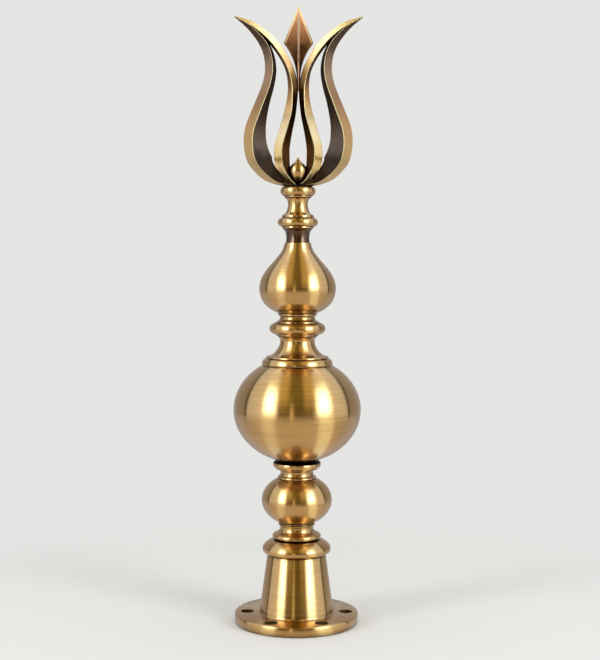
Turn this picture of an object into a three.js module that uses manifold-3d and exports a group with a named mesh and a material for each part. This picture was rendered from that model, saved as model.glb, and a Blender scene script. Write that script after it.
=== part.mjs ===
// Brass roof finial: a bolted flange with a tapered foot, a stack of turned balls and necks,
// and a flat tulip crest with a bud and a spear. Millimetres, +Z up, the crest seen from -Y.
// The origin is the centre of the flange's underside.

import * as THREE from 'three';
import * as BufferGeometryUtils from 'three/addons/utils/BufferGeometryUtils.js';
import Module from 'manifold-3d';

const wasm = await Module();
wasm.setup();

// Driving dimensions

const turnSegments = 28; // facets round the column's turned pieces
const budSegments = 16;
const holeSegments = 20;
const stationSegments = 2; // along a crest bar, between two of its stations
const stemSegments = 8;
const headSegments = 3;
const fitGap = 0.3; // between the crest and what it grips

// A rise is the height of one band of an outline. The bands follow one another from the bottom up.

const foot = { bottomRadius: 38.8, topRadius: 30.8, height: 62.45, fillet: 2.5 };
const flange = { ledge: 26.2, thickness: 10.5, rim: 0.8 }; // the ledge is how far it stands out past the foot
const bolts = { count: 6, edgeDistance: 13, holeRadius: 6.75, firstAngle: 30 };

const collar = { undercut: 0.25, lipRadius: 31.4, rise: 15.1, radius: 36, seatRadius: 25.8 };

const lowerNeck = {
  seatRadius: 23.4,
  seatRise: 1.1,
  ringRise: 5.2,
  ringRadius: 25.5,
  shoulderRadius: 22.3,
  shoulderRise: 0.9,
  hollowRise: 6.3,
  waistRadius: 17.7,
  flareRise: 2.2,
  lipRadius: 19.2,
  lipRise: 3.5,
};

const lowerBulb = { height: 45.25, radius: 37, bottomRadius: 20.8, topRadius: 21.2 };

const middleNeck = {
  lipRadius: 20.3,
  lipRise: 2.25,
  hollowRise: 7.75,
  waistRadius: 17.3,
  shoulderRadius: 22.4,
  shoulderRise: 1.5,
  ringRise: 7,
  ringRadius: 25.2,
  seatRadius: 22.8,
  seatRise: 2,
};

const ball = { height: 99, radius: 66.9, bottomRadius: 22.9, topRadius: 37 };

const spool = {
  seatRadius: 36.1,
  collarRise: 7,
  collarRadius: 36.9,
  shoulderRadius: 34.1,
  lipRadius: 32.3,
  lipRise: 2.5,
  scotiaRise: 21,
  waistRadius: 18.1,
  filletRadius: 22.5,
  filletRise: 2.25,
  ringRise: 12,
  ringRadius: 29.4,
  upperFilletRise: 1.5,
  upperHollowRise: 6.25,
  upperWaistRadius: 18.5,
  topRadius: 20.2,
  topRise: 2,
};

const pear = { height: 74, radius: 40.2, bottomRadius: 20.1, topRadius: 13.6 };
const ferrule = { height: 15, bottomRadius: 12.5, waistRadius: 12.1, topRadius: 16.3 };

const upperNeck = {
  lipRadius: 16.6,
  lipRise: 1.75,
  ringRise: 8.75,
  ringRadius: 21.1,
  filletRise: 2.75,
  hollowRise: 18,
  waistRadius: 10.3,
  topLipRadius: 14.3,
  topLipRise: 2.25,
  topRingRise: 9.25,
  topRingRadius: 18.4,
  seatRadius: 15,
  seatRise: 0.7,
};

const crest = { height: 173.8, halfSpan: 66.4, facet: 7.8, hubRadius: 10, hubHeight: 1.6 };
const outerBar = { halfDepth: 8 };
const innerBar = { halfDepth: 5.5 };
const bud = { height: 28.9, radius: 9.4, footRadius: 1.8 };
const spear = { length: 88, headLength: 38.5, halfWidth: 15.5, stemHalfWidth: 1.3, halfDepth: 5, bevel: 2.1 };
const spearFootShare = 0.5633; // how far up the crest the spear's lower point sits

// Materials, one made for each piece

const metal = (color, roughness) => new THREE.MeshStandardMaterial({ color, roughness, metalness: 1 });
const satinBrass = () => metal(0xb08d4a, 0.28);
const darkCopper = () => metal(0x6e4630, 0.34);
const patinatedBrass = () => metal(0x93784a, 0.34);

// The outline of a turned piece, from the axis at its bottom face up to the axis at its top face.
// Every stretch starts where the last one ended and goes up by its rise.
class Outline {
  constructor(radius) {
    this.points = [new THREE.Vector2(0, 0), new THREE.Vector2(radius, 0)];
  }

  start() {
    return this.points[this.points.length - 1];
  }

  to(radius, rise = 0) {
    this.points.push(new THREE.Vector2(radius, this.start().y + rise));
    return this;
  }

  // Shallow arc: a positive swell bows it outwards, a negative one hollows it.
  arc(radius, rise, swell, segments) {
    const start = this.start();
    const outwards = new THREE.Vector2(rise, start.x - radius).normalize();
    for (let i = 1; i <= segments; i += 1) {
      const t = i / segments;
      const bow = 4 * swell * t * (1 - t);
      const point = new THREE.Vector2(THREE.MathUtils.lerp(start.x, radius, t), start.y + t * rise);
      this.points.push(point.addScaledVector(outwards, bow));
    }
    return this;
  }

  // Half ellipse that reaches the radius given as middle half way up: a bead, or a hollow.
  bead(radius, rise, middle, segments) {
    const start = this.start();
    const swell = middle - (start.x + radius) / 2;
    for (let i = 1; i <= segments; i += 1) {
      const angle = (Math.PI * i) / segments;
      const t = (1 - Math.cos(angle)) / 2;
      const r = THREE.MathUtils.lerp(start.x, radius, t) + swell * Math.sin(angle);
      this.points.push(new THREE.Vector2(i === segments ? radius : r, start.y + t * rise));
    }
    return this;
  }

  // Smooth curve up to a point, through points of [radius, share of the rise].
  sweep(radius, rise, through, segments) {
    const start = this.start();
    const rows = [[start.x, 0], ...through, [radius, 1]];
    const path = rows.map(([r, share]) => new THREE.Vector2(r, start.y + share * rise));
    const curve = new THREE.SplineCurve(path);
    this.points.push(...curve.getPoints(segments).slice(1));
    return this;
  }

  lathe(segments = turnSegments) {
    const top = new THREE.Vector2(0, this.start().y);
    const geometry = new THREE.LatheGeometry([...this.points, top], segments);
    geometry.rotateX(Math.PI / 2);
    return geometry;
  }
}

// A squashed ball cut flat below and above, where its neighbours meet it.
function cutBall({ radius, bottomRadius, topRadius, height }, segments) {
  const below = Math.acos(bottomRadius / radius);
  const above = Math.acos(topRadius / radius);
  const halfHeight = height / (Math.sin(below) + Math.sin(above));
  const outline = new Outline(bottomRadius);
  for (let i = 1; i <= segments; i += 1) {
    const angle = THREE.MathUtils.lerp(-below, above, i / segments);
    const z = i === segments ? height : halfHeight * (Math.sin(angle) + Math.sin(below));
    outline.to(radius * Math.cos(angle), z - outline.start().y);
  }
  return outline.lathe();
}

// Solid joining and cutting

function toSolid(geometry) {
  const plain = geometry.clone();
  plain.deleteAttribute('normal');
  plain.deleteAttribute('uv');
  const merged = BufferGeometryUtils.mergeVertices(plain);
  const mesh = new wasm.Mesh({
    numProp: 3,
    vertProperties: new Float32Array(merged.attributes.position.array),
    triVerts: new Uint32Array(merged.index.array),
  });
  return new wasm.Manifold(mesh);
}

function fromSolid(solid) {
  const mesh = solid.getMesh();
  const geometry = new THREE.BufferGeometry();
  geometry.setAttribute('position', new THREE.BufferAttribute(new Float32Array(mesh.vertProperties), 3));
  geometry.setIndex(new THREE.BufferAttribute(new Uint32Array(mesh.triVerts), 1));
  geometry.computeVertexNormals();
  return geometry;
}

// The same shape on the other side of the YZ plane, with its faces turned to point outwards again.
function mirrored(geometry) {
  const copy = geometry.clone().scale(-1, 1, 1);
  const index = copy.index.array;
  for (let i = 0; i < index.length; i += 3) {
    [index[i + 1], index[i + 2]] = [index[i + 2], index[i + 1]];
  }
  return copy;
}

// A closed bar: a ring of corners carried from t = 0 to t = 1, with a flat cap at each end.
// place(corner, t) gives a corner's point, and the middle of the ring for a corner of -1.
function loft(corners, steps, place) {
  const geometry = new THREE.CylinderGeometry(1, 1, 1, corners, steps);
  const position = geometry.attributes.position;
  for (let i = 0; i < position.count; i += 1) {
    const x = position.getX(i);
    const z = position.getZ(i);
    const turn = Math.atan2(x, z) / (2 * Math.PI);
    const corner = Math.hypot(x, z) < 0.5 ? -1 : Math.round((turn + 1) * corners) % corners;
    const point = place(corner, position.getY(i) + 0.5);
    position.setXYZ(i, point.x, point.y, point.z);
  }
  return geometry;
}

// Base: flange, tapered foot and half-round collar in one casting

function baseGeometry() {
  const flangeRadius = foot.bottomRadius + flange.ledge;
  const circleRadius = flangeRadius - bolts.edgeDistance;
  const collarBelly = [
    [0.961 * collar.radius, 0.11],
    [0.989 * collar.radius, 0.21],
    [collar.radius, 0.35],
    [0.989 * collar.radius, 0.5],
    [0.956 * collar.radius, 0.62],
    [0.906 * collar.radius, 0.74],
    [0.81 * collar.radius, 0.9],
  ];
  const outline = new Outline(flangeRadius - flange.rim)
    .to(flangeRadius, flange.rim)
    .to(flangeRadius, flange.thickness - 2 * flange.rim)
    .to(flangeRadius - flange.rim, flange.rim)
    .to(foot.bottomRadius + foot.fillet)
    .arc(foot.bottomRadius, foot.fillet, -(1 - Math.SQRT1_2) * foot.fillet, 3)
    .to(foot.topRadius, foot.height - foot.fillet)
    .to(collar.lipRadius, collar.undercut)
    .sweep(collar.seatRadius, collar.rise, collarBelly, 7);
  const { holeRadius } = bolts;
  const hole = new THREE.CylinderGeometry(holeRadius, holeRadius, 3 * flange.thickness, holeSegments);
  hole.rotateX(Math.PI / 2);
  let solid = toSolid(outline.lathe());
  for (let i = 0; i < bolts.count; i += 1) {
    const angle = THREE.MathUtils.degToRad(bolts.firstAngle) + (2 * Math.PI * i) / bolts.count;
    const x = circleRadius * Math.sin(angle);
    const y = circleRadius * Math.cos(angle);
    solid = solid.subtract(toSolid(hole.clone().translate(x, y, 0)));
  }
  return fromSolid(solid);
}

// Turned necks, each a ring with its hollows and lips

function lowerNeckGeometry() {
  const n = lowerNeck;
  return new Outline(n.seatRadius)
    .to(n.seatRadius, n.seatRise)
    .bead(n.seatRadius, n.ringRise, n.ringRadius, 4)
    .to(n.shoulderRadius, n.shoulderRise)
    .arc(n.waistRadius, n.hollowRise, -0.27 * n.hollowRise, 3)
    .to(n.lipRadius, n.flareRise)
    .to(n.lipRadius, n.lipRise)
    .lathe();
}

function middleNeckGeometry() {
  const n = middleNeck;
  return new Outline(n.lipRadius)
    .to(n.lipRadius, n.lipRise)
    .bead(n.lipRadius, n.hollowRise, n.waistRadius, 4)
    .to(n.shoulderRadius, n.shoulderRise)
    .bead(n.seatRadius, n.ringRise, n.ringRadius, 4)
    .to(n.seatRadius, n.seatRise)
    .lathe();
}

function spoolGeometry() {
  const s = spool;
  const flare = s.lipRadius - s.waistRadius;
  const scotia = [
    [s.waistRadius + 0.61 * flare, 0.09],
    [s.waistRadius + 0.28 * flare, 0.295],
    [s.waistRadius + 0.07 * flare, 0.53],
    [s.waistRadius, 0.74],
    [s.waistRadius + 0.03 * flare, 0.87],
  ];
  return new Outline(s.seatRadius)
    .bead(s.shoulderRadius, s.collarRise, s.collarRadius, 3)
    .to(s.lipRadius, s.lipRise / 2)
    .to(s.lipRadius, s.lipRise / 2)
    .sweep(s.waistRadius + 0.17 * flare, s.scotiaRise, scotia, 6)
    .to(s.filletRadius, s.filletRise / 2)
    .to(s.filletRadius, s.filletRise / 2)
    .bead(s.filletRadius, s.ringRise, s.ringRadius, 5)
    .to(s.filletRadius, s.upperFilletRise)
    .bead(s.topRadius, s.upperHollowRise, s.upperWaistRadius, 3)
    .to(s.topRadius, s.topRise)
    .lathe();
}

function ferruleGeometry() {
  const { height, bottomRadius, waistRadius, topRadius } = ferrule;
  const flare = topRadius - waistRadius;
  const trumpet = [
    [waistRadius, 0.3],
    [waistRadius + 0.06 * flare, 0.52],
    [waistRadius + 0.28 * flare, 0.77],
  ];
  return new Outline(bottomRadius).sweep(topRadius, height, trumpet, 5).lathe();
}

function upperNeckGeometry() {
  const n = upperNeck;
  const flare = n.lipRadius - n.waistRadius;
  const hollow = [
    [n.waistRadius + 0.46 * flare, 0.13],
    [n.waistRadius + 0.2 * flare, 0.3],
    [n.waistRadius, 0.56],
    [n.waistRadius + 0.05 * flare, 0.78],
    [n.waistRadius + 0.2 * flare, 0.92],
  ];
  return new Outline(n.lipRadius)
    .to(n.lipRadius, n.lipRise)
    .bead(n.lipRadius, n.ringRise, n.ringRadius, 4)
    .to(n.lipRadius, n.filletRise)
    .sweep(n.waistRadius + 0.46 * flare, n.hollowRise, hollow, 6)
    .to(n.topLipRadius, n.topLipRise / 2)
    .to(n.topLipRadius, n.topLipRise / 2)
    .bead(n.seatRadius, n.topRingRise, n.topRingRadius, 4)
    .to(n.seatRadius, n.seatRise)
    .lathe();
}

// The pear's ogee outline, as shares of its largest radius and of its height
function pearGeometry() {
  const ogee = [
    [0.73, 0.07],
    [0.91, 0.173],
    [1, 0.338],
    [0.945, 0.495],
    [0.786, 0.635],
    [0.555, 0.78],
    [0.403, 0.892],
  ];
  const through = ogee.map(([r, share]) => [r * pear.radius, share]);
  return new Outline(pear.bottomRadius).sweep(pear.topRadius, pear.height, through, 10).lathe();
}

// Crest: two S-shaped bars on each side, which meet in a pointed horn. Each bar has a ridge line
// along its front and back, with a facet on either side. A station is [across, up, outer facet,
// inner facet, depth]: shares of the half span, the height, the facet width and the half depth.

const outerStations = [
  [0.03, 0.005, 0.2, 0.3, 0.8],
  [0.247, 0.013, 0.24, 1.05, 1],
  [0.36, 0.03, 0.42, 1.55, 1],
  [0.471, 0.06, 0.72, 1.62, 1],
  [0.553, 0.089, 0.85, 1.87, 1],
  [0.62, 0.12, 0.93, 2.18, 1],
  [0.678, 0.165, 1.13, 2.19, 1],
  [0.712, 0.256, 1.23, 1.89, 1],
  [0.691, 0.333, 1.25, 1.65, 1],
  [0.611, 0.422, 1.2, 1.11, 1],
  [0.525, 0.512, 1.09, 0.78, 0.95],
  [0.442, 0.599, 1.06, 0.59, 0.9],
  [0.4, 0.692, 1.06, 0.5, 0.85],
  [0.432, 0.787, 1.04, 0.37, 0.8],
  [0.517, 0.854, 0.94, 0.3, 0.7],
  [0.626, 0.902, 0.76, 0.25, 0.55],
  [0.758, 0.948, 0.58, 0.2, 0.4],
  [0.997, 0.999, 0.08, 0.06, 0.08],
];

const innerStations = [
  [0.024, 0.006, 0.25, 0.25, 0.7],
  [0.096, 0.03, 0.38, 0.42, 0.85],
  [0.151, 0.056, 0.54, 0.62, 1],
  [0.197, 0.086, 0.77, 0.82, 1],
  [0.237, 0.12, 1.02, 1, 1],
  [0.256, 0.186, 1.1, 1.08, 1],
  [0.25, 0.236, 1.06, 1.06, 1],
  [0.182, 0.333, 1.03, 0.82, 1],
  [0.113, 0.432, 0.98, 0.67, 1],
  [0.094, 0.524, 0.72, 0.73, 0.95],
  [0.098, 0.595, 0.6, 0.78, 0.95],
  [0.155, 0.682, 0.38, 0.82, 1],
  [0.26, 0.761, 0.31, 0.8, 1],
  [0.42, 0.843, 0.3, 0.84, 1],
  [0.58, 0.902, 0.25, 0.73, 0.8],
  [0.75, 0.948, 0.17, 0.62, 0.6],
  [0.998, 0.999, 0.08, 0.14, 0.08],
];

function barGeometry(stations, halfDepth) {
  const ridge = new THREE.CatmullRomCurve3(
    stations.map(([across, up]) => new THREE.Vector3(across * crest.halfSpan, 0, up * crest.height)),
    false,
    'centripetal',
  );
  const section = new THREE.CatmullRomCurve3(
    stations.map(([, , outer, inner, depth]) => new THREE.Vector3(outer, inner, depth)),
    false,
    'centripetal',
  );
  return loft(4, stationSegments * (stations.length - 1), (corner, t) => {
    const point = ridge.getPoint(t);
    const tangent = ridge.getTangent(t);
    const outwards = new THREE.Vector3(tangent.z, 0, -tangent.x);
    const { x: outer, y: inner, z: depth } = section.getPoint(t);
    if (corner === 0) point.y = -depth * halfDepth;
    if (corner === 1) point.addScaledVector(outwards, outer * crest.facet);
    if (corner === 2) point.y = depth * halfDepth;
    if (corner === 3) point.addScaledVector(outwards, -inner * crest.facet);
    return point;
  });
}

// Bud: a turned onion with a small point, widened by grow where it cuts its own seat
function budGeometry(grow = 0) {
  const profile = [
    [0.37, 0.083],
    [0.67, 0.21],
    [0.9, 0.354],
    [1, 0.48],
    [0.95, 0.604],
    [0.7, 0.729],
    [0.36, 0.833],
    [0.14, 0.917],
  ];
  const through = profile.map(([r, share]) => [r * bud.radius + grow, share]);
  const tipRadius = 0.02 * bud.radius + grow;
  return new Outline(bud.footRadius + grow).sweep(tipRadius, bud.height, through, 8).lathe(budSegments);
}

// Spear: a flat blade with a central ridge and bevelled upper edges, hollowed down to a thin stem
function spearGeometry(grow = 0) {
  const segments = stemSegments + headSegments;
  const shoulder = spear.length - spear.headLength;
  const tipHalfWidth = 0.01 * spear.halfWidth;
  return loft(8, segments, (corner, t) => {
    const step = t * segments;
    const isHead = step > stemSegments;
    const climb = isHead ? (step - stemSegments) / headSegments : step / stemSegments;
    const z = isHead ? shoulder + climb * spear.headLength : climb * shoulder;
    const flare = Math.pow(climb, 2.8);
    const width = isHead
      ? THREE.MathUtils.lerp(spear.halfWidth, tipHalfWidth, climb)
      : THREE.MathUtils.lerp(spear.stemHalfWidth, spear.halfWidth, flare);
    const depth = spear.halfDepth * (isHead ? 1 - 0.95 * climb : 0.35 + 0.65 * climb);
    const bevel = isHead ? Math.min(spear.bevel, 0.5 * width) : 0.14 * width;
    const bevelDepth = depth * (isHead ? 0.36 : THREE.MathUtils.lerp(0.2, 0.36, climb));
    const side = corner > 4 ? -1 : 1;
    const front = corner > 2 && corner < 6 ? 1 : -1;
    const w = width + grow;
    const d = depth + grow;
    if (corner < 0) return new THREE.Vector3(0, 0, z);
    if (corner % 4 === 0) return new THREE.Vector3(0, front * d, z);
    if (corner % 4 === 2) return new THREE.Vector3(side * w, 0, z);
    return new THREE.Vector3(side * (w - bevel), front * (bevelDepth + grow), z);
  });
}

function crestGeometry() {
  const outer = barGeometry(outerStations, outerBar.halfDepth);
  const inner = barGeometry(innerStations, innerBar.halfDepth);
  const hub = new THREE.CylinderGeometry(crest.hubRadius, crest.hubRadius, crest.hubHeight, holeSegments);
  hub.rotateX(Math.PI / 2);
  hub.translate(0, 0, crest.hubHeight / 2);
  const below = new THREE.BoxGeometry(2 * crest.halfSpan, 4 * outerBar.halfDepth, crest.facet);
  below.translate(0, 0, -crest.facet / 2);
  const budSeat = budGeometry(fitGap);
  budSeat.translate(0, 0, crest.hubHeight);
  const spearSeat = spearGeometry(fitGap);
  spearSeat.translate(0, 0, spearFootShare * crest.height);
  let solid = toSolid(hub);
  for (const bar of [outer, inner, mirrored(outer), mirrored(inner)]) {
    solid = solid.add(toSolid(bar));
  }
  for (const cutter of [below, budSeat, spearSeat]) {
    solid = solid.subtract(toSolid(cutter));
  }
  return fromSolid(solid);
}

// Assembly

const finial = new THREE.Group();

function place(name, geometry, material, height) {
  const mesh = new THREE.Mesh(geometry, material);
  mesh.name = name;
  mesh.position.z = height;
  finial.add(mesh);
  return mesh;
}

// Each turned piece stands on the top face of the one below it
const column = [
  ['base', baseGeometry(), satinBrass()],
  ['lower_neck', lowerNeckGeometry(), satinBrass()],
  ['lower_bulb', cutBall(lowerBulb, 9), satinBrass()],
  ['middle_neck', middleNeckGeometry(), satinBrass()],
  ['ball', cutBall(ball, 12), satinBrass()],
  ['spool', spoolGeometry(), satinBrass()],
  ['pear', pearGeometry(), satinBrass()],
  ['ferrule', ferruleGeometry(), darkCopper()],
  ['upper_neck', upperNeckGeometry(), satinBrass()],
];

let level = 0;
for (const [name, geometry, material] of column) {
  place(name, geometry, material, level);
  geometry.computeBoundingBox();
  level += geometry.boundingBox.max.z;
}

place('crest', crestGeometry(), patinatedBrass(), level);
place('bud', budGeometry(), satinBrass(), level + crest.hubHeight);
place('spear', spearGeometry(), darkCopper(), level + spearFootShare * crest.height);

export default finial;
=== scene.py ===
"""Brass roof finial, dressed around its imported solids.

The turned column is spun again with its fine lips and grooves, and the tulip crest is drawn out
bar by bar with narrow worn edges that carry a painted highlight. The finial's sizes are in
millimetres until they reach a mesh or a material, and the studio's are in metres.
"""

import math

import bmesh
import bpy
from mathutils import Matrix, Vector


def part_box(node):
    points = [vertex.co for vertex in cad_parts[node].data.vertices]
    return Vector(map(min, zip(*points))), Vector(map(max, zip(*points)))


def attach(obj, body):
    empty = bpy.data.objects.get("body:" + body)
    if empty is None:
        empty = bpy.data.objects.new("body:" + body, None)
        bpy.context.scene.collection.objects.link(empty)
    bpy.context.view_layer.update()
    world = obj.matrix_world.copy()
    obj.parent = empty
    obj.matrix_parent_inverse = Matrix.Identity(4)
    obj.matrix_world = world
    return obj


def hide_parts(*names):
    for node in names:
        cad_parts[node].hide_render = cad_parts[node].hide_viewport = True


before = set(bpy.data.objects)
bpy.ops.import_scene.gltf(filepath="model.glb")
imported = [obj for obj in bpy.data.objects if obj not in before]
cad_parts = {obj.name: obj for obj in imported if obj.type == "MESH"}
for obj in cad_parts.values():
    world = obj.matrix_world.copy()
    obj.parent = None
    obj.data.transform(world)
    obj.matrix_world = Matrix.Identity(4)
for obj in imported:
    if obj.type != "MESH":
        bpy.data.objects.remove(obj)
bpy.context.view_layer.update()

MM = 0.001
DOUBLES = 0.01  # points closer than this are one
TURN_STEPS = 128  # round every turned piece
SHARP = math.radians(28)  # a crease steeper than this keeps a hard edge
CORNER = 1.2 * SHARP  # an outline that turns outwards by more than this is filed there
EDGE = 0.35  # flat left by the file on a turned corner
EDGE_SHARE = 0.3  # the most that the file takes off one end of a narrow band
BAR_EDGE = 0.45  # flat worn along the edges of the crest
BAR_EDGE_SHARE = 0.25  # the most that wear takes off one side of a narrow facet
BAR_EDGE_BOW = 0.3  # how far its middle lies in from the corner: 0.5 would be a plain flat

# Sizes of the base, the balls, the pear and the bud; the necks have theirs in their functions

FLANGE = {"radius": 65, "thickness": 10.5, "rim": 0.8}
BOLTS = {"count": 6, "circle": 52, "radius": 6.75, "chamfer": 0.5, "first": 30}
FOOT = {"bottom": 38.8, "top": 30.8, "height": 62.45, "fillet": 2.5}
COLLAR = {"lip": 31.4, "radius": 36, "seat": 25.8, "undercut": 0.25}
LOWER_BULB = {"radius": 37, "bottom": 20.8, "top": 21.2}
BALL = {"radius": 66.9, "bottom": 22.9, "top": 37}
PEAR = {"radius": 40.2, "bottom": 20.1, "top": 13.6}
BUD = {"radius": 9.4, "foot": 1.8}

# Sizes of the crest and the spear

CREST = {"half_span": 66.4, "facet": 7.8, "hub": 10, "hub_rise": 1.6}
OUTER_DEPTH = 8
INNER_DEPTH = 5.5
SPEAR = {"head": 38.5, "half_width": 15.5, "stem": 1.3, "half_depth": 5, "bevel": 2.1}


# Outlines


def bend(start, leaving, end, arriving, t):
    """Point at a share t of the smooth curve that leaves and arrives in the given directions."""
    return (
        start * (2 * t**3 - 3 * t**2 + 1)
        + leaving * (t**3 - 2 * t**2 + t)
        + end * (3 * t**2 - 2 * t**3)
        + arriving * (t**3 - t**2)
    )


def spline(points, steps):
    """Smooth run through the points, as (radius, height) pairs, without its first point."""
    ends = [points[0], *points, points[-1]]
    run = []
    for i in range(1, steps + 1):
        place = i / steps * (len(points) - 1)
        span = min(int(place), len(points) - 2)
        a, b, c, d = (Vector(p) for p in ends[span : span + 4])
        run.append(bend(b, (c - a) / 2, c, (d - b) / 2, place - span))
    return run


class Outline:
    """Side view of a turned piece, from the axis at its bottom face up to the axis at its top.
    Each call adds one band above the last: the radius that it ends at and how far it rises."""

    def __init__(self, level, radius):
        self.points = [Vector((0, level)), Vector((radius, level))]

    def to(self, radius, rise=0.0):
        """Straight line."""
        self.points.append(Vector((radius, self.points[-1].y + rise)))
        return self

    def arc(self, radius, rise, swell, steps=8):
        """Shallow arc: a positive swell bows it outwards, a negative one hollows it."""
        start = self.points[-1]
        out = Vector((rise, start.x - radius)).normalized()
        for i in range(1, steps + 1):
            t = i / steps
            on_line = Vector((start.x + (radius - start.x) * t, start.y + rise * t))
            self.points.append(on_line + out * (4 * swell * t * (1 - t)))
        return self

    def bead(self, radius, rise, middle, steps=14):
        """Half ellipse that reaches the middle radius half way up: a bead, or a hollow."""
        start = self.points[-1]
        swell = middle - (start.x + radius) / 2
        for i in range(1, steps + 1):
            turn = math.pi * i / steps
            t = (1 - math.cos(turn)) / 2
            across = start.x + (radius - start.x) * t + swell * math.sin(turn)
            self.points.append(Vector((across, start.y + rise * t)))
        return self

    def sweep(self, radius, rise, through, steps=30):
        """Smooth curve through points of (radius, share of the rise)."""
        start = self.points[-1]
        rows = [(start.x, 0), *through, (radius, 1)]
        self.points += spline([(r, start.y + share * rise) for r, share in rows], steps)
        return self

    def filed(self, flat=EDGE):
        """The outline with a narrow flat on each corner that stands out, closed at the axis."""
        points = [*self.points, Vector((0, self.points[-1].y))]
        kept = [points[0]]
        for before, here, after in zip(points, points[1:], points[2:]):
            back, on = before - here, after - here
            stands_out = on.cross(back) > 0
            turn = math.pi - back.angle(on, math.pi)
            if stands_out and turn > CORNER:
                kept.append(here + back.normalized() * min(flat, EDGE_SHARE * back.length))
                kept.append(here + on.normalized() * min(flat, EDGE_SHARE * on.length))
            else:
                kept.append(here)
        return [*kept, points[-1]]


def cut_ball(level, top, sizes, steps=48):
    """Outline of a squashed ball cut flat below and above, where its neighbours meet it."""
    below = math.acos(sizes["bottom"] / sizes["radius"])
    above = math.acos(sizes["top"] / sizes["radius"])
    half_height = (top - level) / (math.sin(below) + math.sin(above))
    outline = Outline(level, sizes["bottom"])
    for i in range(1, steps + 1):
        turn = -below + (below + above) * i / steps
        height = level + half_height * (math.sin(turn) + math.sin(below))
        outline.to(sizes["radius"] * math.cos(turn), height - outline.points[-1].y)
    return outline


# Meshes


def into_scene(name, data):
    """A new object that shows the mesh, light or camera."""
    thing = bpy.data.objects.new(name, data)
    bpy.context.scene.collection.objects.link(thing)
    return thing


def as_object(bm, name, materials):
    """The shape as an object of that name, with its materials in order."""
    mesh = bpy.data.meshes.new(name)
    bm.to_mesh(mesh)
    bm.free()
    for material in materials:
        mesh.materials.append(material)
    return into_scene(name, mesh)


def crease(bm):
    """Makes each fold steeper than SHARP a hard edge, and keeps those that are hard already."""
    for edge in bm.edges:
        edge.smooth = edge.smooth and edge.calc_face_angle(0) < SHARP


def finish_mesh(bm, name, materials):
    """Closes doubles, turns the faces outwards, sets smooth and sharp, and makes the object."""
    bmesh.ops.remove_doubles(bm, verts=bm.verts, dist=DOUBLES * MM)
    bmesh.ops.recalc_face_normals(bm, faces=bm.faces)
    for face in bm.faces:
        face.smooth = True
    crease(bm)
    return as_object(bm, name, materials)


def spun(points, steps=TURN_STEPS, centre=(0, 0)):
    """A solid spun from an outline round an upright axis. Its poles are closed when the mesh is
    finished."""
    bm = bmesh.new()
    corners = [bm.verts.new((r * MM, 0, z * MM)) for r, z in points]
    sides = [bm.edges.new(pair) for pair in zip(corners, corners[1:])]
    bmesh.ops.spin(
        bm,
        geom=corners + sides,
        axis=(0, 0, 1),
        cent=(0, 0, 0),
        angle=2 * math.pi,
        steps=steps,
        use_merge=True,
    )
    bmesh.ops.translate(bm, verts=bm.verts, vec=(centre[0] * MM, centre[1] * MM, 0))
    return bm


def drawn(sections, finishes):
    """A closed bar: the first section's face, extruded through all the others. The strip that
    leaves a section between its points i and i + 1 gets the material number finishes[i]."""
    bm = bmesh.new()
    ring = [bm.verts.new(Vector(p) * MM) for p in sections[0]]
    cap = first = bm.faces.new(ring)
    for section in sections[1:]:
        made = bmesh.ops.extrude_face_region(bm, geom=[cap])["geom"]
        if cap != first:
            bm.faces.remove(cap)
        cap = next(g for g in made if isinstance(g, bmesh.types.BMFace))
        fresh = {g for g in made if isinstance(g, bmesh.types.BMVert)}
        onward = []
        for vert, place in zip(ring, section):
            beside = (edge.other_vert(vert) for edge in vert.link_edges)
            onward.append(next(other for other in beside if other in fresh))
            onward[-1].co = Vector(place) * MM
        for i, finish in enumerate(finishes):
            after = (i + 1) % len(ring)
            strip = bm.faces.get((ring[i], ring[after], onward[after], onward[i]))
            strip.material_index = finish
            if finish != finishes[i - 1]:
                bm.edges.get((ring[i], onward[i])).smooth = False
        ring = onward
    return bm


def cut_with(piece, tools, operation):
    """The piece after an exact join or cut with each tool, whose mesh is then thrown away."""
    for tool in tools:
        modifier = piece.modifiers.new("joint", "BOOLEAN")
        modifier.operation = operation
        modifier.solver = "EXACT"
        modifier.object = tool
    seen = bpy.context.evaluated_depsgraph_get()
    mesh = bpy.data.meshes.new_from_object(piece.evaluated_get(seen))
    piece.modifiers.clear()
    old, piece.data = piece.data, mesh
    mesh.name = piece.name
    bpy.data.meshes.remove(old)
    for tool in tools:
        bpy.data.meshes.remove(tool.data)
    bm = bmesh.new()
    bm.from_mesh(mesh)
    crease(bm)
    bm.to_mesh(mesh)
    bm.free()
    return piece


# Materials


def linear(hex_colour):
    """A colour written as sRGB hex, turned to the linear values that the shader takes."""
    channels = [int(hex_colour[i : i + 2], 16) / 255 for i in (0, 2, 4)]
    return [c / 12.92 if c <= 0.04045 else ((c + 0.055) / 1.055) ** 2.4 for c in channels] + [1]


def add(material, kind, links=None, stops=(), **settings):
    """One node: its settings, any (place, hex colour) stops of its ramp, then its inputs, given
    as plain values or as (node, output) to link."""
    tree = material.node_tree
    node = tree.nodes.new(kind)
    for key, value in settings.items():
        setattr(node, key, value)
    for i, (place, colour) in enumerate(stops):
        elements = node.color_ramp.elements
        stop = elements[i] if i < 2 else elements.new(1)
        stop.position, stop.color = place, linear(colour)
    for key, value in (links or {}).items():
        if isinstance(value, tuple) and isinstance(value[0], bpy.types.Node):
            tree.links.new(value[0].outputs[value[1]], node.inputs[key])
        else:
            node.inputs[key].default_value = value
    return node


def blank(name):
    """A material with no nodes yet."""
    material = bpy.data.materials.new(name)
    material.use_nodes = True
    material.node_tree.nodes.clear()
    return material


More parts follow.
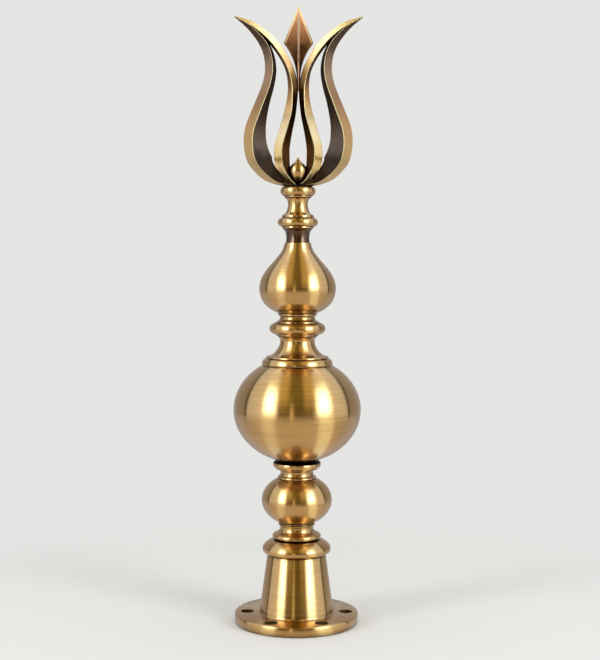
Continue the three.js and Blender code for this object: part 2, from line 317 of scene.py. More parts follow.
def brushed_metal(name, tones, hollow_shade, roughness, spread):
    """Turned metal brushed round its axis, with a dark, a middle and a light tone. The tone given
    after them is painted shade, mixed in where ambient occlusion finds other surfaces near: down
    in the grooves."""
    brush = 0.9 * MM  # the real lines are finer than a pixel, so these are coarse enough to show
    streak = 70 * MM  # how far one line runs
    cloud = 45 * MM  # width of the patches that handling leaves
    hollow = 9 * MM  # how near another surface must be for the painted shade to darken this one
    bump_height = 0.2 * MM
    m = blank(name)
    place = add(m, "ShaderNodeTexCoord")
    split = add(m, "ShaderNodeSeparateXYZ", {0: (place, "Object")})
    flat = add(m, "ShaderNodeCombineXYZ", {"X": (split, "X"), "Y": (split, "Y")})
    radius = add(m, "ShaderNodeVectorMath", {0: (flat, 0)}, operation="LENGTH")
    # Fine across the brush lines, in radius and height, and long round the axis
    across = add(m, "ShaderNodeMath", {0: (radius, "Value"), 1: 1 / brush}, operation="MULTIPLY")
    up = add(m, "ShaderNodeMath", {0: (split, "Z"), 1: 1 / brush}, operation="MULTIPLY")
    round_x = add(m, "ShaderNodeMath", {0: (split, "X"), 1: 1 / streak}, operation="MULTIPLY")
    round_y = add(m, "ShaderNodeMath", {0: (split, "Y"), 1: 1 / streak}, operation="MULTIPLY")
    brushed = add(m, "ShaderNodeCombineXYZ", {"X": (across, 0), "Y": (up, 0), "Z": (round_x, 0)})
    lines = add(
        m,
        "ShaderNodeTexNoise",
        {"Vector": (brushed, 0), "W": (round_y, 0), "Scale": 1.0, "Detail": 3.0, "Roughness": 0.6},
        noise_dimensions="4D",
    )
    patches = add(
        m, "ShaderNodeTexNoise", {"Vector": (place, "Object"), "Scale": 1 / cloud, "Detail": 2.0}
    )
    mixed = add(
        m, "ShaderNodeMix", {"Factor": 0.35, "A": (lines, 0), "B": (patches, 0)}, data_type="FLOAT"
    )
    tone_ramp = add(m, "ShaderNodeValToRGB", {"Fac": (mixed, 0)}, list(zip((0.36, 0.5, 0.64), tones)))
    # Painted shade: the colour darkens towards the shade tone where ambient occlusion finds other
    # surfaces near
    openness = add(m, "ShaderNodeAmbientOcclusion", {"Distance": hollow}, samples=8)
    rubbed = add(
        m, "ShaderNodeMapRange", {"Value": (openness, "AO"), "From Min": 0.3, "From Max": 0.85}
    )
    colour = add(
        m,
        "ShaderNodeMix",
        {"Factor": (rubbed, 0), 6: linear(hollow_shade), 7: (tone_ramp, 0)},
        data_type="RGBA",
    )
    rough = add(
        m,
        "ShaderNodeMapRange",
        {
            "Value": (mixed, 0),
            "From Min": 0.35,
            "From Max": 0.65,
            "To Min": roughness - spread,
            "To Max": roughness + spread,
        },
    )
    bump = add(
        m, "ShaderNodeBump", {"Height": (lines, 0), "Strength": 0.05, "Distance": bump_height}
    )
    grain = add(m, "ShaderNodeTangent", direction_type="RADIAL", axis="Z")
    shader = add(
        m,
        "ShaderNodeBsdfPrincipled",
        {
            "Base Color": (colour, 2),
            "Metallic": 1.0,
            "Roughness": (rough, 0),
            "Anisotropic": 0.82,
            "Anisotropic Rotation": 0.25,
            "Coat Weight": 0.3,
            "Coat Roughness": 0.12,
            "Normal": (bump, 0),
            "Tangent": (grain, 0),
        },
    )
    add(m, "ShaderNodeOutputMaterial", {"Surface": (shader, 0)})
    return m


def height_ramped_metal(name, stops, roughness=0.42, foot=460, tip=640):
    """Cast metal whose colour follows a ramp up its height, from the crest's foot to its tip:
    patina and wear, and on the crest and spear painted light and shade.
    """
    stain = 14 * MM  # width of the blotches that shift the ramp up or down
    sway = 0.12  # how far they shift it, as a share of its height
    grain = 1.2 * MM  # the cast surface, coarse enough to show
    uneven = 0.06  # how much the roughness differs either way
    bump_height = 0.2 * MM
    m = blank(name)
    place = add(m, "ShaderNodeTexCoord")
    split = add(m, "ShaderNodeSeparateXYZ", {0: (place, "Object")})
    wander = add(
        m, "ShaderNodeTexNoise", {"Vector": (place, "Object"), "Scale": 1 / stain, "Detail": 4.0}
    )
    height = add(
        m,
        "ShaderNodeMapRange",
        {"Value": (split, "Z"), "From Min": foot * MM, "From Max": tip * MM},
    )
    offset = add(
        m, "ShaderNodeMath", {0: (wander, 0), 1: sway, 2: -sway / 2}, operation="MULTIPLY_ADD"
    )
    share = add(m, "ShaderNodeMath", {0: (height, 0), 1: (offset, 0)}, operation="ADD")
    colour = add(m, "ShaderNodeValToRGB", {"Fac": (share, 0)}, stops)
    grit = add(
        m, "ShaderNodeTexNoise", {"Vector": (place, "Object"), "Scale": 1 / grain, "Detail": 2.0}
    )
    rough = add(
        m,
        "ShaderNodeMapRange",
        {"Value": (grit, 0), "To Min": roughness - uneven, "To Max": roughness + uneven},
    )
    bump = add(
        m, "ShaderNodeBump", {"Height": (grit, 0), "Strength": 0.03, "Distance": bump_height}
    )
    shader = add(
        m,
        "ShaderNodeBsdfPrincipled",
        {
            "Base Color": (colour, 0),
            "Metallic": 1.0,
            "Roughness": (rough, 0),
            "Normal": (bump, 0),
        },
    )
    add(m, "ShaderNodeOutputMaterial", {"Surface": (shader, 0)})
    return m


# Satin brass: warm yellow, brushed round the axis, so that lights stretch up and down on it. Its
# last tone is painted shade for the hollows
BRASS = brushed_metal("Brushed brass", ("b2874e", "bc9157", "c59b61"), "4c3416", 0.22, 0.02)
# Copper darkened by heat: deep brown with a soft pink light, brushed like the brass. Its last tone
# is painted shade for the hollows
COPPER = brushed_metal("Darkened copper", ("48301f", "563a28", "644733"), "24160e", 0.2, 0.02)
# Nearly black down in the grooves between the pieces: tarnish and painted shade together
TARNISH_AND_SHADE = height_ramped_metal("Tarnish and painted shade in the grooves", [(0, "1c1108"), (1, "24160a")], 0.5)
# Dull brown down the bolt holes: painted shade inside the drilled holes
BORE_SHADE = height_ramped_metal("Painted shade in the bolt holes", [(0, "5c4226"), (1, "5c4226")], 0.5)
# Pale golden lines along the crest's edges: wear, and a painted highlight where the ridges catch
# the light
WORN_AND_SHEEN = height_ramped_metal("Worn brass edge with painted highlight", [(0, "ae9668"), (1, "b49c70")], 0.38)
# Outer facets of the outer bars: painted shade up the bar as the facet turns to face down, golden
# at the belly, grey brown at the neck, dark in the flare
OUTER_OUT = height_ramped_metal(
    "Brass with painted shade up its height",
    [
        (0, "be9d73"), (0.09, "b8986d"), (0.17, "a58254"), (0.26, "9b7548"), (0.38, "886340"),
        (0.5, "775639"), (0.62, "7f5e44"), (0.72, "6c523e"), (0.8, "453327"), (1, "3c2c22"),
    ],
)
# The sheltered side of the outer bars: dark patina, with painted shade that goes nearly black
# where it runs down into the cup
OUTER_IN = height_ramped_metal(
    "Dark patina and painted shade",
    [
        (0, "23150c"), (0.09, "251810"), (0.15, "20160f"), (0.24, "3a2c23"), (0.4, "37291d"),
        (0.6, "34261e"), (1, "392a21"),
    ],
)
# The side of the inner bars that catches the light: golden, with a painted dark reflection in one
# band low down and painted shade in the flare, where it faces down
INNER_OUT = height_ramped_metal(
    "Golden brass with painted reflection and shade",
    [
        (0, "e9c17d"), (0.07, "eac27f"), (0.115, "bf945f"), (0.155, "6a491a"), (0.18, "a28151"),
        (0.3, "a78a66"), (0.4, "91714d"), (0.54, "c38b55"), (0.66, "714e2f"), (1, "714e2f"),
    ],
)
# Their other side: painted shade, brown to nearly black down in the cup, and a painted highlight,
# bright gold, where it turns up into the horn to face the light above
INNER_IN = height_ramped_metal(
    "Painted shade and highlight on the inner bars",
    [
        (0, "251407"), (0.2, "331a07"), (0.4, "160501"), (0.54, "270f01"), (0.64, "845b30"),
        (0.7, "c69860"), (0.78, "ffc788"), (0.88, "ffdda3"), (1, "ecc386"),
    ],
)
# The spear's faces, nearly black down at the stem and warm brown towards the point
SPEAR_FACE = height_ramped_metal(
    "Darkened copper, filed flat",
    [
        (0.54, "180e08"), (0.7, "1f0f06"), (0.76, "331b0a"), (0.81, "5f3a20"), (0.88, "825132"),
        (1, "966340"),
    ],
)
# Its bevels, where hands have rubbed the dark off and left a golden line along the edge
SPEAR_BEVEL = height_ramped_metal(
    "Copper bevel, rubbed golden",
    [(0.54, "3c2a1a"), (0.74, "5c4228"), (0.84, "8c6a42"), (1, "a8845a")],
)
# Its ridge: filed pink copper with a painted highlight along it, brightest near the point
SPEAR_EDGE = height_ramped_metal(
    "Copper ridge with painted highlight",
    [(0.54, "85573c"), (0.68, "976d4f"), (0.78, "c8a48a"), (1, "e2c4ae")],
)


# The turned pieces


def levels(node):
    """The bottom and top of a CAD node, in millimetres."""
    low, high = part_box(node)
    return low.z / MM, high.z / MM


def stand_for(piece, node):
    """The piece takes the CAD node's place in the looks and rides on its body."""
    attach(piece, "root")
    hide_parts(node)
    return piece


def darkened_bands(bm, bands, finish=1):
    """Gives the faces in each band of heights the material of that number."""
    for face in bm.faces:
        height = face.calc_center_median().z / MM
        if any(low < height < high for low, high in bands):
            face.material_index = finish
    return bm


def turned(node, outline, material=BRASS, bands=()):
    """A spun piece, with the bands of tarnish and painted shade given as heights above its foot.
    """
    level, _ = levels(node)
    bm = darkened_bands(spun(outline.filed()), [(level + low, level + high) for low, high in bands])
    return stand_for(finish_mesh(bm, node + "_turned", [material, TARNISH_AND_SHADE]), node)


def bolt_holes(level, top, metals):
    """Tools for the holes in the flange, chamfered below and above."""
    chamfer, radius, reach = BOLTS["chamfer"], BOLTS["radius"], 2 * BOLTS["chamfer"]
    outline = (
        Outline(level - chamfer, radius + reach)
        .to(radius, reach)
        .to(radius, FLANGE["thickness"] - reach)
        .to(radius + reach, reach)
    )
    tools = []
    for i in range(BOLTS["count"]):
        turn = math.radians(BOLTS["first"] + 360 * i / BOLTS["count"])
        centre = (BOLTS["circle"] * math.sin(turn), BOLTS["circle"] * math.cos(turn))
        whole = [(level - FLANGE["thickness"], top)]
        # The holes' walls take the painted shade
        tool = darkened_bands(spun(outline.filed(0), 40, centre), whole, metals.index(BORE_SHADE))
        tools.append(finish_mesh(tool, f"bore_{i}", metals))
    return tools


def base():
    """Bolted flange, tapered foot and round collar, one casting with a dark line of tarnish and
    painted shade between them.
    """
    level, top = levels("base")
    rim, fillet = FLANGE["rim"], FOOT["fillet"]
    rim_bow = 0.2 * rim
    fillet_bow = (1 - math.sqrt(0.5)) * fillet
    groove, margin = 0.55, 0.1
    groove_top = level + FLANGE["thickness"] + FOOT["height"]
    collar_foot = groove_top + COLLAR["undercut"]
    belly = [
        (0.961, 0.11),
        (0.989, 0.21),
        (1, 0.35),
        (0.989, 0.5),
        (0.956, 0.62),
        (0.906, 0.74),
        (0.81, 0.9),
    ]
    through = [(share * COLLAR["radius"], up) for share, up in belly]
    outline = (
        Outline(level, FLANGE["radius"] - rim)
        .arc(FLANGE["radius"], rim, rim_bow, 3)
        .to(FLANGE["radius"], FLANGE["thickness"] - 2 * rim)
        .arc(FLANGE["radius"] - rim, rim, rim_bow, 3)
        .to(FOOT["bottom"] + fillet)
        .arc(FOOT["bottom"], fillet, -fillet_bow)
        .to(FOOT["top"], FOOT["height"] - fillet - groove)
        .to(FOOT["top"] - groove)
        .to(FOOT["top"] - groove, groove)
        .to(COLLAR["lip"], COLLAR["undercut"])
        .sweep(COLLAR["seat"], top - collar_foot, through, 40)
    )
    metals = [BRASS, TARNISH_AND_SHADE, BORE_SHADE]
    # Tarnish and painted shade in the groove under the collar
    dark_line = (groove_top - groove - margin, groove_top + margin)
    piece = finish_mesh(darkened_bands(spun(outline.filed()), [dark_line]), "base_turned", metals)
    piece = cut_with(piece, bolt_holes(level, top, metals), "DIFFERENCE")
    return stand_for(piece, "base")


def lower_neck():
    """Ring that sits on the collar, a hollow above it and a lip cut by two grooves."""
    level, _ = levels("lower_neck")
    groove, seat, ring, step, waist, lip = 21.9, 23.4, 25.5, 22.3, 17.7, 19.2
    hollow, lip_groove = 6.3, 0.9
    return turned(
        "lower_neck",
        Outline(level, groove)
        .to(groove, 1.1)
        .to(seat)
        .bead(seat, 5.2, ring)
        .to(step, 0.9)
        .arc(waist, hollow, -0.27 * hollow)
        .arc(lip, 2.2, -0.3)
        .to(lip, 1)
        .to(lip - lip_groove)
        .to(lip - lip_groove, 0.7)
        .to(lip)
        .to(lip, 0.9)
        .to(lip - lip_groove)
        .to(lip - lip_groove, 0.9),
        # Bands of tarnish and painted shade in the grooves
        bands=[(-1, 1.8), (16.75, 17.35), (18.2, 20)],
    )


def middle_neck():
    """Lip on the lower bulb, a hollow, and a ring with a cove under the ball."""
    level, _ = levels("middle_neck")
    lip, waist, step, ring, seat = 20.3, 17.3, 22.4, 25.2, 22.8
    lip_groove, cove = 0.6, 2.6
    return turned(
        "middle_neck",
        Outline(level, lip - lip_groove)
        .to(lip - lip_groove, 0.4)
        .to(lip)
        .to(lip, 1.85)
        .bead(lip - lip_groove, 7.75, waist)
        .to(step, 0.5)
        .to(step, 1)
        .bead(seat + 0.4, 6.6, ring)
        .bead(seat, 2.4, seat - cove),
        # Bands of tarnish and painted shade in the grooves
        bands=[(-1, 0.4), (16.9, 21)],
    )


def spool():
    """Collar on the ball, a long scotia, a ring between two fillets, and a short neck."""
    level, _ = levels("spool")
    seat, collar, shoulder, lip = 36.1, 36.9, 34.1, 32.3
    waist, fillet, ring, upper_waist, crown = 18.1, 22.5, 29.4, 18.5, 20.2
    flare = lip - waist
    scotia = [
        (waist + 0.61 * flare, 0.09),
        (waist + 0.28 * flare, 0.295),
        (waist + 0.07 * flare, 0.53),
        (waist, 0.74),
        (waist + 0.03 * flare, 0.87),
    ]
    return turned(
        "spool",
        Outline(level, seat)
        .bead(shoulder, 7, collar)
        .to(lip, 0.6)
        .bead(lip, 1.9, lip + 0.5, 6)
        .sweep(waist + 0.17 * flare, 21, scotia)
        .to(fillet, 1.1)
        .to(fillet, 1.15)
        .bead(fillet, 12, ring, 18)
        .to(fillet, 1.5)
        .bead(crown, 6.25, upper_waist)
        .to(crown, 2),
        # Bands of tarnish and painted shade in the grooves
        bands=[(30.55, 31.55), (32.7, 33.3), (44.2, 44.8), (51.9, 52.6), (53.9, 55)],
    )


def pear():
    """Round bulb that draws in through an ogee to the ferrule."""
    level, top = levels("pear")
    ogee = [
        (0.73, 0.07),
        (0.91, 0.173),
        (1, 0.338),
        (0.945, 0.495),
        (0.786, 0.635),
        (0.555, 0.78),
        (0.403, 0.892),
    ]
    through = [(share * PEAR["radius"], up) for share, up in ogee]
    outline = Outline(level, PEAR["bottom"]).sweep(PEAR["top"], top - level, through, 60)
    return turned("pear", outline)


def ferrule():
    """Dark trumpet that flares late, just under the upper neck."""
    level, top = levels("ferrule")
    bottom, waist, mouth = 12.5, 12.1, 16.3
    flare = mouth - waist
    trumpet = [(waist, 0.3), (waist + 0.06 * flare, 0.52), (waist + 0.28 * flare, 0.77)]
    outline = Outline(level, bottom).sweep(mouth, top - level, trumpet, 24)
    return turned("ferrule", outline, COPPER)


def upper_neck():
    """Ring between two lips, a tall hollow, and the top ring that carries the crest."""
    level, _ = levels("upper_neck")
    lip, ring, waist, top_lip, top_ring, seat = 16.6, 21.1, 10.3, 14.3, 18.4, 15
    flare = lip - waist
    hollow = [
        (waist + 0.46 * flare, 0.13),
        (waist + 0.2 * flare, 0.3),
        (waist, 0.56),
        (waist + 0.05 * flare, 0.78),
        (waist + 0.2 * flare, 0.92),
    ]
    return turned(
        "upper_neck",
        Outline(level, lip)
        .to(lip, 1.75)
        .bead(lip, 8.75, ring, 18)
        .bead(lip, 2.75, lip + 0.2, 6)
        .sweep(waist + 0.46 * flare, 18, hollow)
        .to(top_lip, 1.1)
        .to(top_lip, 1.15)
        .bead(seat, 9.25, top_ring, 18)
        .to(seat, 0.7),
        # Bands of tarnish and painted shade in the grooves
        bands=[(1.76, 2.3), (10, 10.55), (31.3, 32.3), (33.5, 34), (42.3, 44.5)],
    )


def bud():
    """Small onion that stands between the crest's inner bars and runs up to a point."""
    level, top = levels("bud")
    onion = [
        (0.37, 0.083),
        (0.67, 0.21),
        (0.9, 0.354),
        (1, 0.48),
        (0.95, 0.604),
        (0.7, 0.729),
        (0.36, 0.833),
        (0.14, 0.917),
    ]
    through = [(share * BUD["radius"], up) for share, up in onion]
    tip = 0.02 * BUD["radius"]
    outline = Outline(level, BUD["foot"]).sweep(tip, top - level, through, 40)
    return turned("bud", outline)


def ball(node, sizes):
    """Squashed ball, seated flat on its neighbours."""
    level, top = levels(node)
    return turned(node, cut_ball(level, top, sizes))


# The crest: two S-shaped bars on each side, which meet in a pointed horn. Each bar has a ridge
# along its front and back, with a facet on either side. A station is (across, up, outer facet,
# inner facet, depth), as shares of the half span, the height, the facet and the half depth.

OUTER_STATIONS = [
    (0.03, 0.005, 0.2, 0.3, 0.8),
    (0.247, 0.013, 0.24, 1.05, 1),
    (0.36, 0.03, 0.42, 1.55, 1),
    (0.471, 0.06, 0.72, 1.62, 1),
    (0.553, 0.089, 0.85, 1.87, 1),
    (0.62, 0.12, 0.93, 2.18, 1),
    (0.678, 0.165, 1.13, 2.19, 1),
    (0.712, 0.256, 1.23, 1.89, 1),
    (0.691, 0.333, 1.25, 1.65, 1),
    (0.611, 0.422, 1.2, 1.11, 1),
    (0.525, 0.512, 1.09, 0.78, 0.95),
    (0.442, 0.599, 1.06, 0.59, 0.9),
    (0.4, 0.692, 1.06, 0.5, 0.85),
    (0.432, 0.787, 1.04, 0.37, 0.8),
    (0.517, 0.854, 0.94, 0.3, 0.7),
    (0.626, 0.902, 0.76, 0.25, 0.55),
    (0.758, 0.948, 0.58, 0.2, 0.4),
    (0.997, 0.999, 0.08, 0.06, 0.08),
]

INNER_STATIONS = [
    (0.024, 0.006, 0.25, 0.25, 0.7),
    (0.096, 0.03, 0.38, 0.42, 0.85),
    (0.151, 0.056, 0.54, 0.62, 1),
    (0.197, 0.086, 0.77, 0.82, 1),
    (0.237, 0.12, 1.02, 1, 1),
    (0.256, 0.186, 1.1, 1.08, 1),
    (0.25, 0.236, 1.06, 1.06, 1),
    (0.182, 0.333, 1.03, 0.82, 1),
    (0.113, 0.432, 0.98, 0.67, 1),
    (0.094, 0.524, 0.72, 0.73, 0.95),
    (0.098, 0.595, 0.6, 0.78, 0.95),
    (0.155, 0.682, 0.38, 0.82, 1),
    (0.26, 0.761, 0.31, 0.8, 1),
    (0.42, 0.843, 0.3, 0.84, 1),
    (0.58, 0.902, 0.25, 0.73, 0.8),
    (0.75, 0.948, 0.17, 0.62, 0.6),
    (0.998, 0.999, 0.08, 0.14, 0.08),
]

BAR_STEPS = 6  # sections between two stations
CREST_METALS = [WORN_AND_SHEEN, OUTER_OUT, OUTER_IN, INNER_OUT, INNER_IN]
# Numbers in CREST_METALS round a section: two worn flats for each corner, which carry the painted
# highlight, then the facet that follows it. The corners are the front ridge, the outer edge, the
# back ridge and the inner edge.
OUTER_FINISHES = [0, 0, 1] * 2 + [0, 0, 2] * 2
INNER_FINISHES = [0, 0, 3] * 2 + [0, 0, 4] * 2

SPEAR_METALS = [SPEAR_FACE, SPEAR_EDGE, SPEAR_BEVEL]
# The same round half the spear: the ridge and a face, two bevels that meet in the edge, a face
SPEAR_FINISHES = ([1, 1, 0] + [2, 2, 2] * 2 + [2, 2, 0]) * 2
SPEAR_FLATS = [1.1, 0.3, 0.3, 0.3] * 2  # a broad ridge, and narrow flats along the bevels


def smooth_run(rows, steps):
    """Centripetal curve through rows of numbers, as points and directions, steps per row."""
    least_gap = 1e-6  # so that two equal rows divide nothing by nothing
    knots = [Vector(row) for row in rows]
    knots = [2 * knots[0] - knots[1], *knots, 2 * knots[-1] - knots[-2]]
    run = []
    for i in range(1, len(knots) - 2):
        p0, p1, p2, p3 = knots[i - 1 : i + 3]
        spans = ((p0, p1), (p1, p2), (p2, p3))
        gap0, gap1, gap2 = (max((b - a).length, least_gap) ** 0.5 for a, b in spans)
        out = (p1 - p0) / gap0 - (p2 - p0) / (gap0 + gap1) + (p2 - p1) / gap1
        into = (p2 - p1) / gap1 - (p3 - p1) / (gap1 + gap2) + (p3 - p2) / gap2
        out, into = out * gap1, into * gap1
        last = i == len(knots) - 3
        for k in range(steps + 1 if last else steps):
            t = k / steps
            way = (
                p1 * (6 * t**2 - 6 * t)
                + out * (3 * t**2 - 4 * t + 1)
                + p2 * (6 * t - 6 * t**2)
                + into * (3 * t**2 - 2 * t)
            )
            run.append((bend(p1, out, p2, into, t), way))
    return run


def worn(corners, flats):
    """The corners of a section, each rounded with two narrow flats: three points for every one."""
    ring = []
    for i, (here, flat) in enumerate(zip(corners, flats)):
        back, on = corners[i - 1] - here, corners[(i + 1) % len(corners)] - here
        back = back.normalized() * min(flat, BAR_EDGE_SHARE * back.length)
        on = on.normalized() * min(flat, BAR_EDGE_SHARE * on.length)
        ring += [here + back, here + BAR_EDGE_BOW * (back + on), here + on]
    return ring


def bar(name, stations, half_depth, side, finishes):
    """One bar of the crest, on the right for a side of 1 and on the left for -1."""
    level, top = levels("crest")
    places = [(s[0] * CREST["half_span"], 0, level + s[1] * (top - level)) for s in stations]
    path = smooth_run(places, BAR_STEPS)
    shares = smooth_run([s[2:] for s in stations], BAR_STEPS)
    sections = []
    for (here, way), (share, _) in zip(path, shares):
        outwards = Vector((way.z, 0, -way.x)).normalized()
        forwards = Vector((0, share.z * half_depth, 0))
        corners = [
            here - forwards,
            here + outwards * (share.x * CREST["facet"]),
            here + forwards,
            here - outwards * (share.y * CREST["facet"]),
        ]
        ring = worn(corners, [BAR_EDGE] * 4)
        sections.append([Vector((p.x * side, p.y, p.z)) for p in ring])
    return finish_mesh(drawn(sections, finishes), name, CREST_METALS)


def crest():
    """Small round hub with the four bars joined to it."""
    level, _ = levels("crest")
    hub = Outline(level, CREST["hub"]).to(CREST["hub"], CREST["hub_rise"])
    disc = spun(hub.filed())
    # The hub takes the dark patina and painted shade of the bars' inner facets
    for face in disc.faces:
        face.material_index = CREST_METALS.index(OUTER_IN)
    piece = finish_mesh(disc, "crest_tulip", CREST_METALS)
    bars = []
    for hand, side in (("left", -1), ("right", 1)):
        bars.append(bar(f"outer_{hand}", OUTER_STATIONS, OUTER_DEPTH, side, OUTER_FINISHES))
        bars.append(bar(f"inner_{hand}", INNER_STATIONS, INNER_DEPTH, side, INNER_FINISHES))
    return stand_for(cut_with(piece, bars, "UNION"), "crest")


def spear():
    """Bevelled blade with a ridge down its middle, on a stem that swells into it."""
    level, top = levels("spear")
    shoulder = top - level - SPEAR["head"]
    stem_steps, head_steps = 24, 6
    tip_width, tip_depth = 0.01, 0.05  # what is left at the point, as shares of the widest place
    foot_depth, stem_swell, stem_bevel = 0.35, 2.8, 0.14
    head_bevel_depth, foot_bevel_depth = 0.36, 0.2  # shares of the depth at the ridge
    sections = []
    for step in range(stem_steps + head_steps + 1):
        if step > stem_steps:
            climb = (step - stem_steps) / head_steps
            z = level + shoulder + climb * SPEAR["head"]
            width = SPEAR["half_width"] * (1 - (1 - tip_width) * climb)
            depth = SPEAR["half_depth"] * (1 - (1 - tip_depth) * climb)
            bevel = min(SPEAR["bevel"], 0.5 * width)
            bevel_depth = head_bevel_depth * depth
        else:
            climb = step / stem_steps
            z = level + climb * shoulder
            width = SPEAR["stem"] + (SPEAR["half_width"] - SPEAR["stem"]) * climb**stem_swell
            depth = SPEAR["half_depth"] * (foot_depth + (1 - foot_depth) * climb)
            bevel = stem_bevel * width
            gain = (head_bevel_depth - foot_bevel_depth) * climb
            bevel_depth = (foot_bevel_depth + gain) * depth
        right = [(width - bevel, -bevel_depth), (width, 0), (width - bevel, bevel_depth)]
        left = [(-x, y) for x, y in reversed(right)]
        corners = [Vector((x, y, z)) for x, y in [(0, -depth), *right, (0, depth), *left]]
        sections.append(worn(corners, SPEAR_FLATS))
    piece = finish_mesh(drawn(sections, SPEAR_FINISHES), "spear_blade", SPEAR_METALS)
    return stand_for(piece, "spear")


base()
lower_neck()
ball("lower_bulb", LOWER_BULB)
middle_neck()
ball("ball", BALL)
spool()
pear()
ferrule()
upper_neck()
crest()
bud()
spear()


# The studio


def studio_floor():
    """Pale floor that fades into the pale room round it."""
    radius, fade_from, fade_to, clearance = 1.0, 0.3, 0.62, 0.0002
    m = blank("Pale matt floor")
    place = add(m, "ShaderNodeTexCoord")
    far = add(m, "ShaderNodeVectorMath", {0: (place, "Object")}, operation="LENGTH")
    share = add(
        m,
        "ShaderNodeMapRange",
        {"Value": (far, "Value"), "From Min": fade_from, "From Max": fade_to},
        interpolation_type="SMOOTHSTEP",
    )
    matt = add(m, "ShaderNodeBsdfDiffuse", {"Color": linear("e3e3e2")})
    clear = add(m, "ShaderNodeBsdfTransparent")
    blend = add(m, "ShaderNodeMixShader", {0: (share, 0), 1: (matt, 0), 2: (clear, 0)})
    add(m, "ShaderNodeOutputMaterial", {"Surface": (blend, 0)})
    bm = bmesh.new()
    bmesh.ops.create_circle(bm, cap_ends=True, radius=radius, segments=96)
    floor = as_object(bm, "floor", [m])
    floor.location.z = -clearance
    floor.visible_glossy = False


# Tones of the light tent's panels
WALL, BACK, JOINT, PANEL, GLOW = "83868b", "868482", "0a0603", "bbc9dc", "cdd8e7"
ROOM, UPPER_ROOM, SLOPE, STREAK, BOX = "453a15", "6f693f", "b4ab7c", "e8e8c0", "cbe7ff"
FLOOR, FLOOR_LEFT, FLOOR_RIGHT, FLOOR_SIDE = "b1b0ae", "cad4da", "d9e8e7", "a0a4ac"
OFF, ON = "000000", "ffffff"

# The tones round the tent, each at its degrees from the camera: left is negative, and 180 is
# behind the finial
LEFT_WALLS = [
    (-180, BACK), (-168, BACK), (-156, WALL), (-109, WALL), (-107.5, JOINT), (-103, JOINT),
    (-101, PANEL), (-62, GLOW),
]
RIGHT_WALLS = [
    (66, GLOW), (101, PANEL), (103, JOINT), (107.5, JOINT), (109, WALL), (156, WALL),
    (168, BACK), (180, BACK),
]
LOW_TONES = [
    (-180, FLOOR_SIDE), (-95, FLOOR_SIDE), (-70, FLOOR), (-61, FLOOR_LEFT), (-46, FLOOR_LEFT),
    (-36, FLOOR), (36, FLOOR), (43, FLOOR_RIGHT), (66, FLOOR_RIGHT), (71, FLOOR),
    (95, FLOOR_SIDE), (180, FLOOR_SIDE),
]
WALL_TONES = [
    *LEFT_WALLS, (-42, GLOW), (-32, ROOM), (-13, ROOM), (-11, STREAK), (-8, STREAK), (-6, ROOM),
    (28, ROOM), (40, GLOW), *RIGHT_WALLS,
]
HIGH_TONES = [
    *LEFT_WALLS, (-44, GLOW), (-36, SLOPE), (-20, SLOPE), (-12, UPPER_ROOM), (11, UPPER_ROOM),
    (15, SLOPE), (32, SLOPE), (44, GLOW), *RIGHT_WALLS,
]
BOX_TONES = [
    (-180, OFF), (-67, OFF), (-56, BOX), (-44, BOX), (-35, OFF), (32, OFF), (42, BOX), (56, BOX),
    (68, OFF), (180, OFF),
]
# Where one row of panels gives way to the next, and where the softboxes shine: shares of the
# tent's height
OVER_FLOOR = [(0, OFF), (0.385, OFF), (0.41, ON), (1, ON)]
OVER_WALLS = [(0, OFF), (0.46, OFF), (0.8, ON), (1, ON)]
WINDOW = [(0, OFF), (0.435, OFF), (0.535, ON), (0.8, ON), (0.93, OFF)]


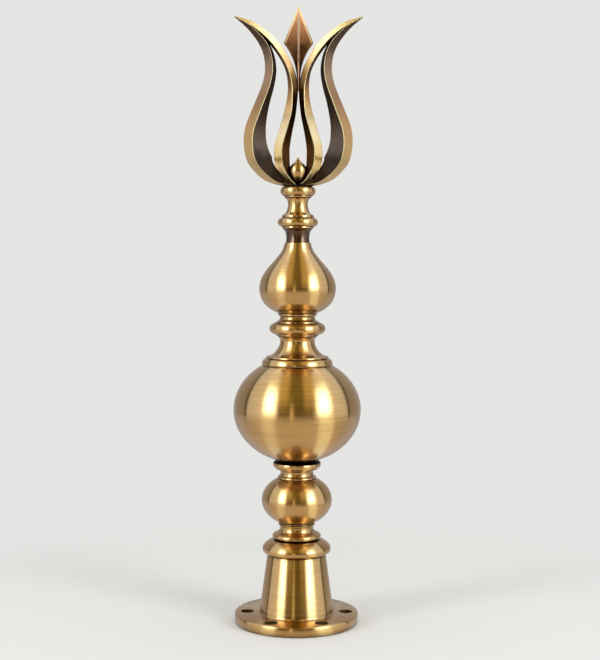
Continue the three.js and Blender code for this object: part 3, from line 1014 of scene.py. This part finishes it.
def tent_lining():
    """Glowing cloth of the light tent: the panels' even tones and the softboxes' brighter ones."""
    box_strength, panel_strength = 8.5, 2.0
    behind_from, behind_to = 0.6, 0.9  # shares of the radius
    m = blank("Lit light tent")
    place = add(m, "ShaderNodeTexCoord")
    split = add(m, "ShaderNodeSeparateXYZ", {0: (place, "Object")})
    far = add(m, "ShaderNodeVectorMath", {0: (place, "Object")}, operation="LENGTH")
    climb = add(m, "ShaderNodeMath", {0: (split, "Z"), 1: (far, "Value")}, operation="DIVIDE")
    height = add(m, "ShaderNodeMapRange", {"Value": (climb, 0), "From Min": -1.0, "From Max": 1.0})
    # The panels' edges are upright planes that meet behind the finial, so that the metal shows
    # each of them at one share of its width, however round it is
    back = add(m, "ShaderNodeMath", {0: (far, "Value"), 1: (split, "Y")}, operation="SUBTRACT")
    turn = add(m, "ShaderNodeMath", {0: (split, "X"), 1: (back, 0)}, operation="ARCTAN2")
    round_share = add(
        m,
        "ShaderNodeMapRange",
        {"Value": (turn, 0), "From Min": -math.pi / 2, "From Max": math.pi / 2},
    )
    low, walls, high, boxes = (
        add(
            m,
            "ShaderNodeValToRGB",
            {"Fac": (round_share, 0)},
            [(0.5 + degrees / 360, tone) for degrees, tone in tones],
        )
        for tones in (LOW_TONES, WALL_TONES, HIGH_TONES, BOX_TONES)
    )
    over_floor, over_walls, window = (
        add(m, "ShaderNodeValToRGB", {"Fac": (height, 0)}, stops)
        for stops in (OVER_FLOOR, OVER_WALLS, WINDOW)
    )
    lower = add(
        m,
        "ShaderNodeMix",
        {"Factor": (over_floor, 0), 6: (low, 0), 7: (walls, 0)},
        data_type="RGBA",
    )
    panels = add(
        m,
        "ShaderNodeMix",
        {"Factor": (over_walls, 0), 6: (lower, 2), 7: (high, 0)},
        data_type="RGBA",
    )
    # One even tone behind the finial, where the edges would otherwise run together
    behind = add(m, "ShaderNodeMath", {0: (split, "Y"), 1: (far, "Value")}, operation="DIVIDE")
    at_back = add(
        m,
        "ShaderNodeMapRange",
        {"Value": (behind, 0), "From Min": behind_from, "From Max": behind_to},
    )
    plain = add(
        m,
        "ShaderNodeMix",
        {"Factor": (at_back, 0), 6: (panels, 2), 7: linear(BACK)},
        data_type="RGBA",
    )
    lit = add(
        m,
        "ShaderNodeMix",
        {"Factor": 1.0, 6: (boxes, 0), 7: (window, 0)},
        data_type="RGBA",
        blend_type="MULTIPLY",
    )
    glow = add(m, "ShaderNodeEmission", {"Color": (lit, 2), "Strength": box_strength})
    dim = add(m, "ShaderNodeEmission", {"Color": (plain, 2), "Strength": panel_strength})
    both = add(m, "ShaderNodeAddShader", {0: (glow, 0), 1: (dim, 0)})
    add(m, "ShaderNodeOutputMaterial", {"Surface": (both, 0)})
    return m


def light_tent():
    """The studio that the metal mirrors: a round tent with a bright softbox on either side of the
    camera, pale panels beyond them, a thin dark joint beyond those, grey walls behind the finial,
    a pale floor, and the dim end of the room behind the camera. Only reflections see it."""
    radius, centre_height = 3.0, 0.3
    bm = bmesh.new()
    bmesh.ops.create_uvsphere(bm, u_segments=64, v_segments=32, radius=radius)
    tent = as_object(bm, "light_tent", [tent_lining()])
    tent.location.z = centre_height
    tent.visible_camera = False
    tent.visible_diffuse = False
    tent.visible_shadow = False
    tent.visible_transmission = False


def softbox(name, degrees, width, watts):
    """A soft light aimed at the middle of the finial from that many degrees to the right of the
    camera. The tent shows its reflection."""
    distance, rise, height = 2.2, 0.9, 1.2
    middle = Vector((0, 0, 0.3))
    light = bpy.data.lights.new(name, "AREA")
    light.shape = "RECTANGLE"
    light.size, light.size_y = width, height
    light.energy = watts
    lamp = into_scene(name, light)
    turn = math.radians(degrees)
    place = Vector((math.sin(turn) * distance, -math.cos(turn) * distance, rise))
    aim = (middle - place).to_track_quat("-Z", "Y")
    lamp.matrix_world = Matrix.Translation(place) @ aim.to_matrix().to_4x4()
    lamp.visible_camera = False
    lamp.visible_glossy = False


def room():
    """Even pale light from all round, which is also the backdrop."""
    world = bpy.data.worlds.new("Pale room")
    bpy.context.scene.world = world
    world.use_nodes = True
    shade = world.node_tree.nodes["Background"]
    shade.inputs["Color"].default_value = linear("e5e5e3")
    shade.inputs["Strength"].default_value = 1.0
    world.cycles_visibility.glossy = False


def camera():
    """The photograph's viewpoint, worked out from its vanishing lines: level with the pear and
    looking slightly down."""
    lens, distance, height = 73.64, 1.41255, 0.39302
    down, roll, turn = 3.39, -0.23, -0.095  # degrees
    data = bpy.data.cameras.new("camera")
    data.lens = lens
    eye = into_scene("camera", data)
    eye.location = (0, -distance, height)
    eye.rotation_euler = [math.radians(angle) for angle in (90 - down, roll, turn)]
    bpy.context.scene.camera = eye


bpy.context.scene.view_settings.view_transform = "Standard"
studio_floor()
light_tent()
softbox("left_softbox", -56, 0.6, 20)
softbox("right_softbox", 50, 0.8, 26)
room()
camera()
